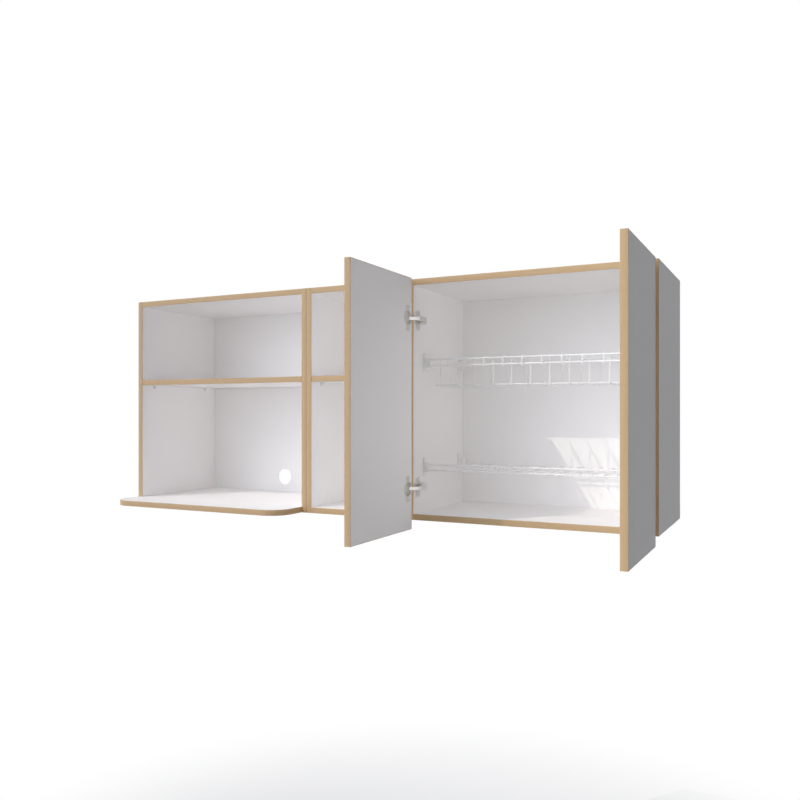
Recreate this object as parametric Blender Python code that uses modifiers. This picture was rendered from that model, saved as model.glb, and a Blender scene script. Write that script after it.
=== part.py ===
"""Wall-hung row of three kitchen cabinets in white board with pale edging.

From left to right: an open unit with a tray base for a microwave oven, a narrow open unit,
and a two-door unit with two wire racks for drying dishes. Both doors stand open by a quarter turn.
X runs along the row, Y runs into the wall and Z points up. The origin lies on the wall face,
in the middle of the row. All lengths are in metres.
"""
import math

import bmesh
import bpy
from mathutils import Matrix, Vector

# Cabinets
microwave_width = 0.600
open_width = 0.300
dish_width = 0.600
carcass_height = 0.596
carcass_depth = 0.330
board = 0.015
back_thickness = 0.003
edge_band = 0.001
seat_gap = 0.0003
cut_overrun = 0.002
join_overlap = 0.0001
merge_distance = 0.00001
smooth_angle = math.radians(35)
quarter_turn = math.radians(90)

# Tray base of the microwave unit
tray_reach = 0.103
tray_corner_radius = 0.055
corner_steps = 8

# Shelves and their pins
shelf_height = 0.3473
shelf_end_clearance = 0.001
shelf_back_clearance = 0.002
pin_inset = 0.050
pin_radius = 0.0025
pin_in_side = 0.008
pin_tab_height = 0.010
pin_tab_width = 0.008
pin_tab_reach = 0.007

# Hole for the oven's mains lead
cable_hole_radius = 0.025
cable_hole_height = 0.0615
hole_sides = 32

# Doors
door_thickness = 0.015
door_gap = 0.003
door_reveal = 0.0015
door_standoff = 0.002
door_drop = 0.020
pivot_across = 0.00325
pivot_ahead = 0.01775

# Concealed hinges
hinge_end_distance = 0.100
cup_inset = 0.0225
cup_radius = 0.0175
cup_wall = 0.0008
cup_depth = 0.0115
cup_floor = 0.0006
cup_sides = 24
pin_sides = 12
boss_steps = 12
nose_steps = 8
plate_corner_steps = 3
rim_width = 0.0008
flange_thickness = 0.0012
flange_height = 0.062
flange_width = 0.018
flange_screw_spacing = 0.048
link_notch_height = 0.0116
link_notch_depth = 0.0045
nose_across = 0.0366
nose_ahead = 0.0096
nose_radius = 0.0025
nose_height = 0.0108
hinge_pin_radius = 0.0012
link_length = 0.0252
link_thickness = 0.0016
link_height = 0.0080
link_boss_radius = 0.0023
link_open_angle = math.radians(-142.7)
arm_wall = 0.0012
arm_front_back_end = 0.022
arm_front_web_start = 0.0069
arm_front_outer = 0.0016
arm_rear_front_end = 0.012
arm_rear_back_end = 0.045
arm_rear_height = 0.017
arm_rear_outer = 0.016
arm_rear_inner = 0.0022
plate_thickness = 0.0015
plate_height = 0.050
plate_front = 0.018
plate_back = 0.036
bridge_front = 0.024
bridge_back = 0.044
bridge_height = 0.012
bridge_reach = 0.0080
plate_screw_spacing = 0.034

# Racks
rack_front = 0.060
rack_back = 0.300
rail_radius = 0.0020
rod_radius = 0.0016
weld_depth = 0.0006
rod_pitch = 0.0484
rod_clearance = 0.0006
rail_drop = 0.0161
upper_rail_height = 0.3997
dip_front = 0.126
dip_back = 0.242
dip_drop = 0.0658
rest_end_room = 0.002
lower_rail_height = 0.1335
lower_rail_drop = 0.0140
lower_rod_pitch = 0.0285
lower_rods_end_room = 0.027
bend_radius = 0.005
bend_steps = 2

# Rack brackets
bracket_plate_height = 0.049
bracket_plate_depth = 0.022
bracket_plate_thickness = 0.003
socket_reach = 0.0148
socket_depth = 0.012
socket_margin = 0.003
socket_hold = 0.008
peg_radius = 0.0025
peg_length = 0.009
peg_inset = 0.007

# Fixings
dowel_radius = 0.004
dowel_in_side = 0.009
dowel_root = 0.004
dowel_inset = 0.050
dowel_sides = 8
screw_sides = 8
flat_screw_head_radius = 0.0034
flat_screw_head = 0.0010
flat_screw_radius = 0.0017
flat_screw_length = 0.0115
plate_screw_head_radius = 0.0038
plate_screw_head = 0.0014
plate_screw_radius = 0.0025
plate_screw_length = 0.0125

# Planes shared by the whole row
row_width = microwave_width + open_width + dish_width
row_left = -row_width / 2
bottom = -carcass_height / 2
top = carcass_height / 2
front = -carcass_depth
board_front = front + edge_band + seat_gap
board_back = -back_thickness - seat_gap
half_gap = seat_gap / 2
rail_front = front + rack_front + rail_radius
rail_back = front + rack_back - rail_radius
dip_start = front + dip_front
dip_end = front + dip_back
wires_apart = rail_radius + rod_radius - weld_depth
AXIS_X = Vector((1, 0, 0))
AXIS_Z = Vector((0, 0, 1))

for old in list(bpy.data.objects):
    bpy.data.objects.remove(old, do_unlink=True)

parts = bpy.data.collections.new("wall_cabinet_row")
cutters = bpy.data.collections.new("cutters")
bpy.context.scene.collection.children.link(parts)
bpy.context.scene.collection.children.link(cutters)

bores = {}
stubs = {}


def material(name, colour, roughness, metallic=0.0):
    made = bpy.data.materials.new(name)
    made.use_nodes = True
    shader = made.node_tree.nodes["Principled BSDF"]
    shader.inputs["Base Color"].default_value = (*colour, 1.0)
    shader.inputs["Roughness"].default_value = roughness
    shader.inputs["Metallic"].default_value = metallic
    return made


white_board = material("white_melamine", (0.80, 0.80, 0.81), 0.45)
white_back = material("white_hardboard", (0.76, 0.76, 0.77), 0.55)
pale_band = material("oak_edge_band", (0.58, 0.42, 0.24), 0.50)
nickel_steel = material("nickel_plated_steel", (0.62, 0.62, 0.63), 0.30, 1.0)
white_wire = material("white_coated_wire", (0.86, 0.86, 0.86), 0.35)
white_plastic = material("white_moulded_plastic", (0.82, 0.82, 0.81), 0.40)


def each_material(base, name):
    """Gives each sub-part a material of its own with the finish of its kind"""
    own = base.copy()
    own.name = f"{base.name}_{name}"
    return own


def centred_object(name, bm, collection, pivot=None):
    """Makes an object from a mesh in world places, with its origin in its middle"""
    low = Vector([min(v.co[i] for v in bm.verts) for i in range(3)])
    high = Vector([max(v.co[i] for v in bm.verts) for i in range(3)])
    centre = (low + high) / 2
    bmesh.ops.translate(bm, verts=bm.verts, vec=-centre)
    mesh = bpy.data.meshes.new(name)
    bm.to_mesh(mesh)
    bm.free()
    made = bpy.data.objects.new(name, mesh)
    made.location = centre
    if pivot:
        made.parent = pivot
        made.location = centre - pivot.location
    collection.objects.link(made)
    return made


def part(name, bm, finish, pivot=None, smooth=False):
    made = centred_object(name, bm, parts, pivot)
    made.data.materials.append(each_material(finish, name))
    if smooth:
        made.data.shade_smooth()
        made.data.set_sharp_from_angle(angle=smooth_angle)
    return made


def combine(target, bm, name, operation):
    """Cuts a shape out of an object, or joins it on"""
    tool = centred_object(name, bm, cutters, target.parent)
    tool.hide_render = True
    tool.display_type = "WIRE"
    change = target.modifiers.new(name, "BOOLEAN")
    change.operation = operation
    change.object = tool
    change.solver = "EXACT"


def add_box(bm, low, high):
    size = [high[i] - low[i] for i in range(3)]
    centre = [(high[i] + low[i]) / 2 for i in range(3)]
    place = Matrix.Translation(centre) @ Matrix.Diagonal((*size, 1))
    bmesh.ops.create_cube(bm, size=1, matrix=place)


def add_rod(bm, start, end, radius, sides):
    start = Vector(start)
    end = Vector(end)
    along = end - start
    turn = AXIS_Z.rotation_difference(along).to_matrix().to_4x4()
    place = Matrix.Translation((start + end) / 2) @ turn
    bmesh.ops.create_cone(
        bm, cap_ends=True, segments=sides, radius1=radius, radius2=radius, depth=along.length, matrix=place
    )


def box_part(name, low, high, finish, pivot=None):
    bm = bmesh.new()
    add_box(bm, low, high)
    return part(name, bm, finish, pivot)


def outline_mesh(outlines, z_middle, thickness):
    """A flat shape from closed outlines, extruded about a level"""
    data = bpy.data.curves.new("outline", "CURVE")
    data.dimensions = "2D"
    data.fill_mode = "BOTH"
    data.extrude = thickness / 2
    for outline in outlines:
        spline = data.splines.new("POLY")
        spline.points.add(len(outline) - 1)
        for point, (x, y) in zip(spline.points, outline):
            point.co = (x, y, 0, 1)
        spline.use_cyclic_u = True
    flat = bpy.data.objects.new("outline", data)
    parts.objects.link(flat)
    flat.location.z = z_middle
    return curve_to_bmesh(flat)


def curve_to_bmesh(curve):
    bpy.context.view_layer.update()
    graph = bpy.context.evaluated_depsgraph_get()
    mesh = bpy.data.meshes.new_from_object(curve.evaluated_get(graph))
    bm = bmesh.new()
    bm.from_mesh(mesh)
    bmesh.ops.remove_doubles(bm, verts=bm.verts, dist=merge_distance)
    bmesh.ops.transform(bm, matrix=curve.matrix_world, verts=bm.verts)
    bmesh.ops.recalc_face_normals(bm, faces=bm.faces)
    data = curve.data
    bpy.data.objects.remove(curve, do_unlink=True)
    bpy.data.curves.remove(data)
    bpy.data.meshes.remove(mesh)
    return bm


def arc(centre, radius, start, end, steps):
    turns = [start + (end - start) * i / steps for i in range(steps + 1)]
    return [(centre[0] + radius * math.cos(a), centre[1] + radius * math.sin(a)) for a in turns]


def bore(target, mouth, floor, radius, sides=dowel_sides):
    bores.setdefault(target.name, []).append((Vector(mouth), Vector(floor), radius, sides))


def dowel_all():
    """Joins the glued dowels to the boards that carry them"""
    for name, rods in stubs.items():
        bm = bmesh.new()
        for start, end in rods:
            add_rod(bm, start, end, dowel_radius, dowel_sides)
        combine(bpy.data.objects[name], bm, f"dowels_{name}", "UNION")


def drill_all():
    for name, holes in bores.items():
        bm = bmesh.new()
        for mouth, floor, radius, sides in holes:
            add_rod(bm, mouth, floor, radius, sides)
        combine(bpy.data.objects[name], bm, f"bores_{name}", "DIFFERENCE")


def turned(name, profile, sides):
    """A shape turned about Z from its profile in X and Z, which runs down its outer side"""
    data = bpy.data.meshes.new(name)
    edges = [(i, i + 1) for i in range(len(profile) - 1)]
    data.from_pydata([(x, 0, z) for x, z in profile], edges, [])
    made = bpy.data.objects.new(name, data)
    parts.objects.link(made)
    turn = made.modifiers.new("turn", "SCREW")
    turn.axis = "Z"
    turn.steps = sides
    turn.render_steps = sides
    turn.use_merge_vertices = True
    turn.merge_threshold = merge_distance
    return made


def turned_screw(head_radius, head, radius, length):
    """A screw with a flat head, its head's underside at zero and its shank along -Z"""
    profile = [(0, head), (head_radius, head), (head_radius, 0)]
    profile += [(radius, 0), (radius, radius - length), (0, -length)]
    holder = turned("screw_profile", profile, screw_sides)
    data = holder.data
    bpy.context.view_layer.update()
    graph = bpy.context.evaluated_depsgraph_get()
    mesh = bpy.data.meshes.new_from_object(holder.evaluated_get(graph))
    bpy.data.objects.remove(holder, do_unlink=True)
    bpy.data.meshes.remove(data)
    return mesh


def join_screws(target, pattern, places):
    """Screws that hold a piece, joined to it; each place is the head's seat and the way the screw points"""
    bm = bmesh.new()
    for seat, points in places:
        before = len(bm.verts)
        bm.from_mesh(pattern)
        bm.verts.ensure_lookup_table()
        turn = (-AXIS_Z).rotation_difference(Vector(points)).to_matrix().to_4x4()
        bmesh.ops.transform(bm, matrix=Matrix.Translation(seat) @ turn, verts=bm.verts[before:])
    combine(target, bm, f"screws_{target.name}", "UNION")


# Carcass boards
class Unit:
    """One cabinet: its outer faces, its inner faces and its boards"""

    def __init__(self, name, left, width, first, last):
        self.name = name
        self.left = left + (0 if first else half_gap)
        self.right = left + width - (0 if last else half_gap)
        self.inner_left = self.left + board
        self.inner_right = self.right - board
        self.middle = left + width / 2

    def side(self, which, floor):
        x = self.left if which == "left" else self.inner_right
        low = (x, board_front, floor)
        return box_part(f"{self.name}_{which}_side", low, (x + board, board_back, top), white_board)

    def level(self, which, z, clearance=seat_gap, back=board_back):
        low = (self.inner_left + clearance, board_front, z)
        high = (self.inner_right - clearance, back, z + board)
        return box_part(f"{self.name}_{which}", low, high, white_board)

    def back_panel(self):
        low = (self.left, -back_thickness, bottom)
        return box_part(f"{self.name}_back", low, (self.right, 0, top), white_back)


def front_band(unit, outlines):
    """The edging on a cabinet's front, from outlines in X and Z"""
    bm = outline_mesh(outlines, 0, edge_band)
    place = Matrix.Translation((0, front + edge_band / 2, 0)) @ Matrix.Rotation(quarter_turn, 4, "X")
    bmesh.ops.transform(bm, matrix=place, verts=bm.verts)
    return part(f"{unit.name}_edge_band", bm, pale_band)


def ring_band(unit):
    outside = [(unit.left, bottom), (unit.left, top), (unit.right, top), (unit.right, bottom)]
    low = bottom + board
    high = top - board
    inside = [(unit.inner_left, low), (unit.inner_left, high)]
    inside += [(unit.inner_right, high), (unit.inner_right, low)]
    return front_band(unit, [outside, inside])


def arch_band(unit):
    """The edging of a cabinet whose base has its own: two legs, the left one on the base, and a top"""
    foot = bottom + board + seat_gap
    high = top - board
    outline = [(unit.left, foot), (unit.left, top), (unit.right, top), (unit.right, bottom)]
    outline += [(unit.inner_right, bottom), (unit.inner_right, high)]
    outline += [(unit.inner_left, high), (unit.inner_left, foot)]
    return front_band(unit, [outline])


def dowel_joint(carrier, carried, seam, points):
    """Two dowels glued in the carried board's end, which stand in bores of the carrier"""
    points = Vector(points)
    for y in (board_front + dowel_inset, board_back - dowel_inset):
        here = Vector((seam[0], y, seam[1]))
        end = here - points * dowel_in_side
        stubs.setdefault(carried.name, []).append((here + points * dowel_root, end))
        bore(carrier, here + points * cut_overrun, end - points * seat_gap, dowel_radius + seat_gap)


def tray_outline(left, right, corner_front, inset):
    """The tray's edge from its back left corner, round both front corners, to its right edge"""
    radius = tray_corner_radius
    y = corner_front + radius
    bend = radius - inset
    left_corner = arc((left + radius, y), bend, 2 * quarter_turn, 3 * quarter_turn, corner_steps)
    right_corner = arc((right - radius, y), bend, 3 * quarter_turn, 4 * quarter_turn, corner_steps)
    return left_corner + right_corner


def tray_base(unit):
    """The microwave unit's base board, which runs out past the cabinet's front as a tray"""
    left = unit.left
    right = unit.inner_right - seat_gap
    corner_front = front - tray_reach
    inset = edge_band + seat_gap
    edge = tray_outline(left, right, corner_front, inset)
    core = [(left + inset, board_back), *edge, (right - inset, front), (right, front), (right, board_back)]
    middle = bottom + board / 2
    base = part(f"{unit.name}_base", outline_mesh([core], middle, board), white_board)
    outer = tray_outline(left, right, corner_front, 0)
    inner = tray_outline(left, right, corner_front, edge_band)
    band_end = front - seat_gap
    strip = [(left, board_back), *outer, (right, band_end), (right - edge_band, band_end)]
    strip += [*reversed(inner), (left + edge_band, board_back)]
    part("tray_edge_band", outline_mesh([strip], middle, board), pale_band)
    return base


def shelf_pins(unit, left_side, right_side):
    """Four pins in the sides, each with a tab under the shelf"""
    level = bottom + shelf_height - seat_gap - pin_tab_height / 2
    for end, y in (("front", front + pin_inset), ("back", board_back - pin_inset)):
        for hand, wall, side, inward in (
            ("left", unit.inner_left, left_side, 1),
            ("right", unit.inner_right, right_side, -1),
        ):
            seat = wall + inward * seat_gap
            tab_end = wall + inward * pin_tab_reach
            hole_end = wall - inward * pin_in_side
            xs = sorted((seat, tab_end))
            low = (xs[0], y - pin_tab_width / 2, level - pin_tab_height / 2)
            high = (xs[1], y + pin_tab_width / 2, level + pin_tab_height / 2)
            pin = box_part(f"{unit.name}_shelf_pin_{end}_{hand}", low, high, white_plastic)
            stem = bmesh.new()
            add_rod(stem, (hole_end, y, level), ((seat + tab_end) / 2, y, level), pin_radius, dowel_sides)
            combine(pin, stem, f"stem_{pin.name}", "UNION")
            mouth = (wall + inward * cut_overrun, y, level)
            bore(side, mouth, (hole_end - inward * seat_gap, y, level), pin_radius + seat_gap)


# Doors
def door_pivot(name, unit_side, sign):
    pivot = bpy.data.objects.new(name, None)
    pivot.location = (unit_side + sign * pivot_across, front - pivot_ahead, 0)
    parts.objects.link(pivot)
    return pivot


def opened(across, ahead):
    """Where a point of the closed door lies when the door stands open, from the unit's side and front"""
    return pivot_across + pivot_ahead - ahead, -pivot_ahead - (across - pivot_across)


def door(name, unit_side, sign, pivot):
    """A door panel with an edge strip on each of its four edges"""
    width = (dish_width - door_gap) / 2 - door_reveal
    outer_x, hinge_y = opened(door_reveal, door_standoff + door_thickness)
    inner_x, free_y = opened(door_reveal + width, door_standoff)
    xs = sorted((unit_side + sign * outer_x, unit_side + sign * inner_x))
    low_y = front + free_y
    high_y = front + hinge_y
    low_z = bottom - door_drop
    inset = edge_band + seat_gap
    low = (xs[0], low_y + inset, low_z + inset)
    panel = box_part(name, low, (xs[1], high_y - inset, top - inset), white_board, pivot)
    band = box_part(f"{name}_edge_band", (xs[0], low_y, low_z), (xs[1], high_y, top), pale_band, pivot)
    inside = bmesh.new()
    low = (xs[0] - cut_overrun, low_y + edge_band, low_z + edge_band)
    add_box(inside, low, (xs[1] + cut_overrun, high_y - edge_band, top - edge_band))
    combine(band, inside, f"inside_{name}_edge_band", "DIFFERENCE")
    return panel


def rounded_rectangle(low, high, radius, steps):
    (x0, y0), (x1, y1) = low, high
    corners = [
        ((x1 - radius, y1 - radius), 0),
        ((x0 + radius, y1 - radius), quarter_turn),
        ((x0 + radius, y0 + radius), 2 * quarter_turn),
        ((x1 - radius, y0 + radius), 3 * quarter_turn),
    ]
    points = []
    for centre, start in corners:
        points += arc(centre, radius, start, start + quarter_turn, steps)
    return points


def upright(bm, unit_side, sign, across, y, z):
    """Turns a flat shape drawn in X and Y so that it lies on a wall: X becomes height, Y stays"""
    turn = Matrix.Rotation(-quarter_turn * sign, 4, "Y")
    place = Matrix.Translation((unit_side + sign * across, y, z))
    bmesh.ops.transform(bm, matrix=place @ turn, verts=bm.verts)
    return bm


def guide(made):
    """Leaves a helper shape out of the model"""
    made.hide_render = True
    made.display_type = "WIRE"
    return made


def join_on(target, piece, name):
    """Joins a cutter collection's shape, with its own cuts, to an object"""
    join = target.modifiers.new(name, "BOOLEAN")
    join.operation = "UNION"
    join.object = guide(piece)
    join.solver = "EXACT"


def cup_wings(name, unit_side, sign, pivot, seat, cup_y, z):
    """The cup's flange: a flat plate with rounded ends and the cup's mouth through it"""
    half_w = flange_width / 2
    half_h = flange_height / 2
    corners = rounded_rectangle((-half_h, -half_w), (half_h, half_w), half_w / 2, plate_corner_steps)
    wings = outline_mesh([corners], 0, flange_thickness - 2 * join_overlap)
    upright(wings, unit_side, sign, seat + flange_thickness / 2, cup_y, z)
    wing = centred_object(f"wings_{name}", wings, cutters, pivot)
    mouth = bmesh.new()
    behind = unit_side + sign * (seat - cut_overrun)
    ahead = unit_side + sign * (seat + flange_thickness + cut_overrun)
    add_rod(mouth, (behind, cup_y, z), (ahead, cup_y, z), cup_radius - cup_wall / 2, cup_sides)
    combine(wing, mouth, f"mouth_{name}", "DIFFERENCE")
    return wing


def hinge_cup(name, unit_side, sign, pivot, panel, z):
    """A drawn steel cup in the door, with a flange and a notch for the link"""
    face, y_cup = opened(door_reveal + cup_inset, door_standoff)
    cup_y = front + y_cup
    seat = face + seat_gap
    rim = cup_radius + rim_width
    inner = cup_radius - cup_wall
    floor = -cup_depth
    profile = [(0, floor + cup_floor), (inner, floor + cup_floor), (inner, flange_thickness)]
    profile += [(rim, flange_thickness), (rim, 0), (cup_radius, 0), (cup_radius, floor), (0, floor)]
    cup = turned(name, profile, cup_sides)
    cup.data.materials.append(each_material(nickel_steel, name))
    cup.parent = pivot
    cup.location = Vector((unit_side + sign * seat, cup_y, z)) - pivot.location
    cup.rotation_euler = (0, quarter_turn * sign, 0)
    join_on(cup, cup_wings(name, unit_side, sign, pivot, seat, cup_y, z), "wings")
    ahead = unit_side + sign * (seat + flange_thickness + cut_overrun)
    notch = bmesh.new()
    xs = sorted((unit_side + sign * (seat - link_notch_depth), ahead))
    high = link_notch_height / 2
    add_box(notch, (xs[0], cup_y + inner / 2, z - high), (xs[1], cup_y + rim + cut_overrun, z + high))
    combine(cup, notch, f"link_notch_{name}", "DIFFERENCE")
    places = []
    for up in (-1, 1):
        level = z + up * flange_screw_spacing / 2
        head = unit_side + sign * (seat + flange_thickness - 2 * join_overlap)
        tip = unit_side + sign * (seat + flange_thickness - flat_screw_length - seat_gap)
        places.append(((head, cup_y, level), (-sign, 0, 0)))
        bore(panel, (ahead, cup_y, level), (tip, cup_y, level), flat_screw_radius + seat_gap)
    join_screws(cup, flat_screw, places)
    cup_end = unit_side + sign * (seat - cup_depth - seat_gap)
    bore(panel, (ahead, cup_y, z), (cup_end, cup_y, z), cup_radius + seat_gap, cup_sides)


def hinge_link(name, unit_side, sign, pivot, z):
    """A steel link from the pin in the arm's nose into the open cup"""
    nose = Vector((nose_across, front - nose_ahead))
    way = Vector((math.cos(link_open_angle), math.sin(link_open_angle)))
    over = Vector((-way.y, way.x)) * link_thickness / 2
    tip = nose + way * link_length
    spread = math.asin(link_thickness / 2 / link_boss_radius)
    boss_start = link_open_angle + spread
    boss_end = link_open_angle + 4 * quarter_turn - spread
    outline = arc(nose, link_boss_radius, boss_start, boss_end, boss_steps) + [tip - over, tip + over]
    hole = arc(nose, hinge_pin_radius + seat_gap, 0, 4 * quarter_turn, boss_steps)[:-1]
    outlines = [[(unit_side + sign * x, y) for x, y in points] for points in (outline, hole)]
    return part(name, outline_mesh(outlines, z, link_height), nickel_steel, pivot)


def arm_nose(name, unit_side, sign, z):
    """The arm's slender front: a channel whose two cheeks hold the pin"""
    nose = (nose_across, front - nose_ahead)
    outer = nose_across + arm_front_outer
    inner = nose_across - nose_radius
    joint = board + arm_rear_outer - arm_wall / 2
    web_start = front - arm_front_web_start
    back = front + arm_front_back_end
    slender = [(inner, front), *arc(nose, nose_radius, 2 * quarter_turn, 4 * quarter_turn, nose_steps)]
    slender += [(outer, web_start + cut_overrun), (outer, back)]
    slender += [(joint, back), (joint, front + arm_rear_front_end)]
    outline = [(unit_side + sign * x, y) for x, y in slender]
    arm = part(name, outline_mesh([outline], z, nose_height), nickel_steel)
    half = nose_height / 2 - arm_wall
    hollow = bmesh.new()
    web_side = board + arm_rear_outer + seat_gap
    xs = sorted((unit_side + sign * web_side, unit_side + sign * (outer - arm_wall)))
    add_box(hollow, (xs[0], web_start - cut_overrun, z - half), (xs[1], back + cut_overrun, z + half))
    combine(arm, hollow, f"hollow_{name}", "DIFFERENCE")
    fork = bmesh.new()
    xs = sorted((unit_side + sign * (inner - cut_overrun), unit_side + sign * (outer + cut_overrun)))
    add_box(fork, (xs[0], front - nose_ahead - 2 * nose_radius, z - half), (xs[1], web_start, z + half))
    combine(arm, fork, f"fork_{name}", "DIFFERENCE")
    return arm


def arm_channel(name, unit_side, sign, z):
    """The arm's wide rear channel, which straddles the bridge"""
    high = arm_rear_height / 2
    face = board + arm_rear_outer
    start = front + arm_rear_front_end
    end = front + arm_rear_back_end
    rear = bmesh.new()
    xs = sorted((unit_side + sign * (board + arm_rear_inner), unit_side + sign * face))
    add_box(rear, (xs[0], start, z - high), (xs[1], end, z + high))
    channel = centred_object(f"channel_{name}", rear, cutters)
    deep = high - arm_wall
    room = bmesh.new()
    xs = sorted((unit_side + sign * (board - cut_overrun), unit_side + sign * (face - arm_wall)))
    add_box(room, (xs[0], front + cut_overrun, z - deep), (xs[1], end + cut_overrun, z + deep))
    combine(channel, room, f"room_{name}", "DIFFERENCE")
    return channel


def hinge_arm(name, unit_side, sign, z):
    """A folded steel arm: a narrow front channel that holds the pin, on a wider channel over the bridge"""
    arm = arm_nose(name, unit_side, sign, z)
    join_on(arm, arm_channel(name, unit_side, sign, z), "channel")
    x = unit_side + sign * nose_across
    y = front - nose_ahead
    reach = nose_height / 2 - join_overlap
    pin = bmesh.new()
    add_rod(pin, (x, y, z - reach), (x, y, z + reach), hinge_pin_radius, pin_sides)
    combine(arm, pin, f"pin_{name}", "UNION")


def hinge_plate(name, unit_side, sign, side, z):
    """A mounting plate screwed to the cabinet side, with the bridge that the arm sits on"""
    wall = board + seat_gap
    half = plate_height / 2
    wide = (plate_back - plate_front) / 2
    middle_y = front + (plate_front + plate_back) / 2
    corners = rounded_rectangle((-half, -wide), (half, wide), wide / 2, plate_corner_steps)
    flat = outline_mesh([corners], 0, plate_thickness)
    upright(flat, unit_side, sign, wall + plate_thickness / 2, middle_y, z)
    plate = part(name, flat, nickel_steel)
    bridge = bmesh.new()
    xs = sorted((unit_side + sign * (wall + join_overlap), unit_side + sign * (wall + bridge_reach)))
    high = bridge_height / 2
    add_box(bridge, (xs[0], front + bridge_front, z - high), (xs[1], front + bridge_back, z + high))
    combine(plate, bridge, f"bridge_{name}", "UNION")
    places = []
    for up in (-1, 1):
        level = z + up * plate_screw_spacing / 2
        head = unit_side + sign * (wall + plate_thickness - join_overlap)
        outside = unit_side + sign * (wall + cut_overrun)
        tip = unit_side + sign * (wall + plate_thickness - plate_screw_length - seat_gap)
        places.append(((head, middle_y, level), (-sign, 0, 0)))
        bore(side, (outside, middle_y, level), (tip, middle_y, level), plate_screw_radius + seat_gap)
    join_screws(plate, plate_screw, places)


# Racks
def bent_path(points, radius):
    """A path through the points with its square corners rounded"""
    path = [Vector(points[0])]
    for i in range(1, len(points) - 1):
        corner = Vector(points[i])
        into = (corner - Vector(points[i - 1])).normalized()
        out = (Vector(points[i + 1]) - corner).normalized()
        centre = corner + (out - into) * radius
        for step in range(bend_steps + 1):
            angle = quarter_turn * step / bend_steps
            path.append(centre - out * radius * math.cos(angle) + into * radius * math.sin(angle))
    path.append(Vector(points[-1]))
    return path


def add_wire(bm, points, radius):
    data = bpy.data.curves.new("wire", "CURVE")
    data.dimensions = "3D"
    data.bevel_depth = radius
    data.bevel_resolution = 1
    data.use_fill_caps = True
    spline = data.splines.new("POLY")
    spline.points.add(len(points) - 1)
    for point, place in zip(spline.points, points):
        point.co = (*place, 1)
    curve = bpy.data.objects.new("wire", data)
    parts.objects.link(curve)
    wire = curve_to_bmesh(curve)
    mesh = bpy.data.meshes.new("wire")
    wire.to_mesh(mesh)
    wire.free()
    bm.from_mesh(mesh)
    bpy.data.meshes.remove(mesh)


def row_of(middle, room, pitch):
    """As many places as fit in a length at a pitch, centred about the middle"""
    count = math.floor(room / pitch) + 1
    return [middle + (i - (count - 1) / 2) * pitch for i in range(count)]


def add_rail(bm, unit, y, z):
    """A rail along the rack, whose ends lie in the sockets of the brackets"""
    ends = unit.inner_right - unit.middle - socket_reach + socket_hold
    add_wire(bm, [(unit.middle - ends, y, z), (unit.middle + ends, y, z)], rail_radius)


def welded(name, rail_mesh, rod_mesh):
    """One welded rack from its rails and its rods"""
    rack = part(name, rail_mesh, white_wire, smooth=True)
    combine(rack, rod_mesh, f"rods_{name}", "UNION")


def add_dipped_rod(bm, x, level, low):
    """A rod that is hooked over the front rails and dips where the plates' edges stand"""
    over = level + wires_apart
    hook = rail_front - wires_apart
    floor = level - dip_drop
    path = [(x, hook, low - 2 * rail_radius), (x, hook, over)]
    path += [(x, dip_start, over), (x, dip_start, floor)]
    path += [(x, dip_end, floor), (x, dip_end, over)]
    path += [(x, rail_back + 2 * rail_radius, over)]
    add_wire(bm, bent_path(path, bend_radius), rod_radius)


def upper_rack(unit, level, low):
    """The plate rack: rails, two rests for the plates' edges, and the dipped rods that part them"""
    bm = bmesh.new()
    rods = bmesh.new()
    for y, z in ((rail_front, level), (rail_front, low), (rail_back, level)):
        add_rail(bm, unit, y, z)
    half = unit.inner_right - unit.middle - rest_end_room
    rest = level - dip_drop + wires_apart
    for y in (dip_start + bend_radius, dip_end - bend_radius):
        add_wire(bm, [(unit.middle - half, y, rest), (unit.middle + half, y, rest)], rail_radius)
    room = 2 * (unit.inner_right - unit.middle - socket_reach - rod_radius - rod_clearance)
    for x in row_of(unit.middle, room, rod_pitch):
        add_dipped_rod(rods, x, level, low)
    welded("upper_rack", bm, rods)


def lower_rack(unit, level, low):
    """The flat rack for glasses on the low rails, and the free rail that fences its front"""
    bm = bmesh.new()
    rods = bmesh.new()
    fence = bmesh.new()
    add_rail(bm, unit, rail_front, low)
    add_rail(bm, unit, rail_back, low)
    room = 2 * (unit.inner_right - unit.middle - lower_rods_end_room)
    over = low + wires_apart
    for x in row_of(unit.middle, room, lower_rod_pitch):
        ends = [(x, rail_front - rail_radius, over), (x, rail_back + 2 * rail_radius, over)]
        add_wire(rods, ends, rod_radius)
    welded("lower_rack", bm, rods)
    add_rail(fence, unit, rail_front, level)
    part("lower_rack_fence", fence, white_wire, smooth=True)


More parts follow.
